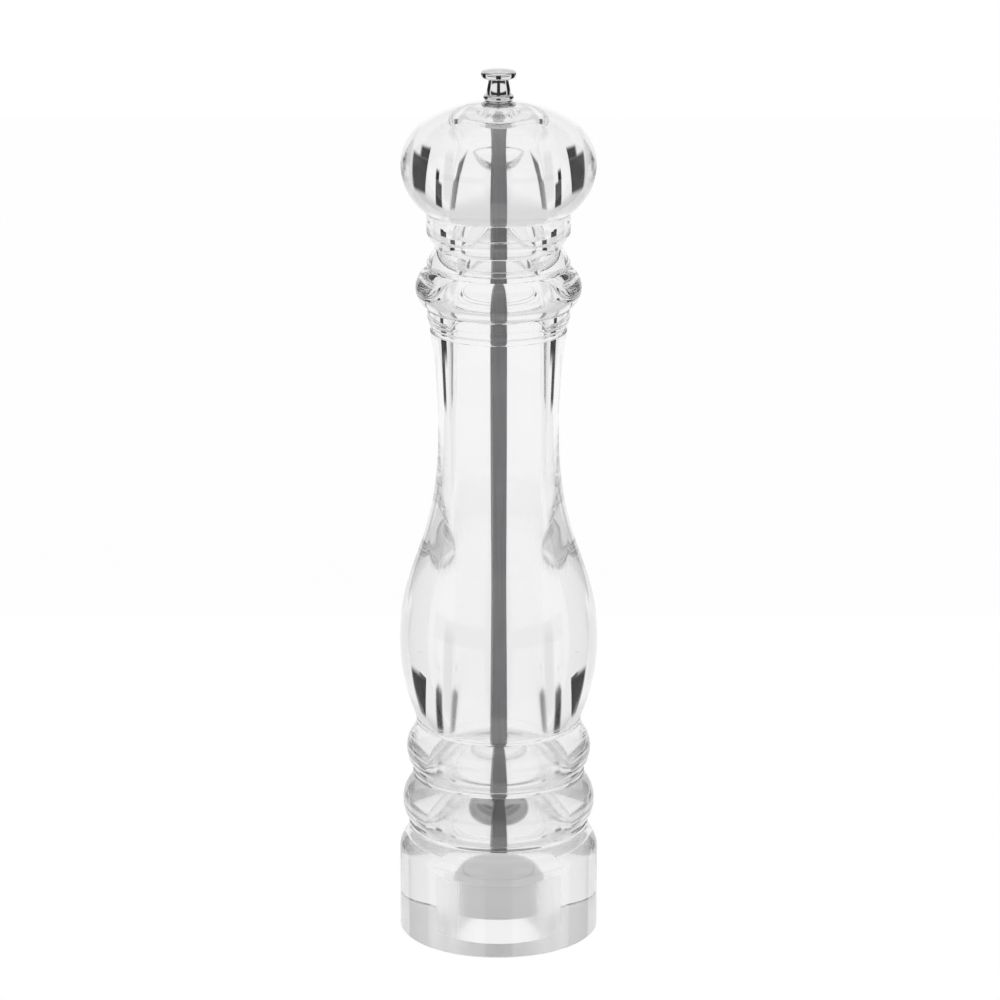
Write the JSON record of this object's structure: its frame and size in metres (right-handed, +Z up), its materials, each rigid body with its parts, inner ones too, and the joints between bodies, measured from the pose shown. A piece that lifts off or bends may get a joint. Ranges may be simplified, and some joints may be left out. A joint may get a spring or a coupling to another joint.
{
  "type": "pepper mill",
  "caption": "Tall turned clear pepper mill: rotating domed head, finial knob that sets the grind, square drive shaft and a burr mechanism in the base.",
  "frame": {"origin": "centre of the base's resting face", "axes": "+Z up along the turning axis, towards the knob; -Y is the front"},
  "size_m": [0.069, 0.069, 0.3051],
  "materials": {
    "clear_acrylic": "polished clear acrylic",
    "polished_chrome": "polished chrome plate",
    "drawn_aluminium": "drawn aluminium, fine lengthwise grain",
    "turned_steel": "fine turned stainless steel",
    "spring_steel": "drawn spring wire",
    "grey_nylon": "moulded light grey nylon",
    "pale_acetal": "smooth pale acetal",
    "burr_ceramic": "fine unglazed ceramic"
  },
  "bodies": {
    "body": {"body_shell": "clear_acrylic", "bearing_bridge": "grey_nylon", "shaft_bearing": "pale_acetal", "bridge_screws": "turned_steel", "burr_housing": "grey_nylon", "stator_burr": "burr_ceramic", "keeper_ring": "grey_nylon"},
    "turning_set": {"thrust_washer": "turned_steel", "grind_spring": "spring_steel"},
    "spindle": {"drive_shaft": "drawn_aluminium", "rotor_burr": "burr_ceramic", "spring_seat": "turned_steel", "nut_washer": "turned_steel", "rotor_nut": "turned_steel"},
    "head": {"head_shell": "clear_acrylic", "centring_ring": "clear_acrylic", "drive_bush": "turned_steel", "knob_washer": "turned_steel"},
    "knob": {"top_knob": "polished_chrome"}
  },
  "joints": [
    {"name": "head_turn", "type": "hinge", "parent": "body", "child": "turning_set", "pos_m": [0, 0, 0.2445], "axis": [0, 0, 1], "continuous": true},
    {"name": "head_lift", "type": "slide", "parent": "turning_set", "child": "head", "axis": [0, 0, 1], "range_m": [0, 0.07]},
    {"name": "knob_turn", "type": "hinge", "parent": "head", "child": "knob", "pos_m": [0, 0, 0.3], "axis": [0, 0, 1], "range_deg": [-720, 0]},
    {"name": "grind_adjust", "type": "slide", "parent": "turning_set", "child": "spindle", "axis": [0, 0, 1], "range_m": [0, 0.0014], "deforming": ["grind_spring"]}
  ],
  "couplings": [
    {"joint": "grind_adjust", "follows": "knob_turn", "m_per_rad": -0.00011141}
  ]
}
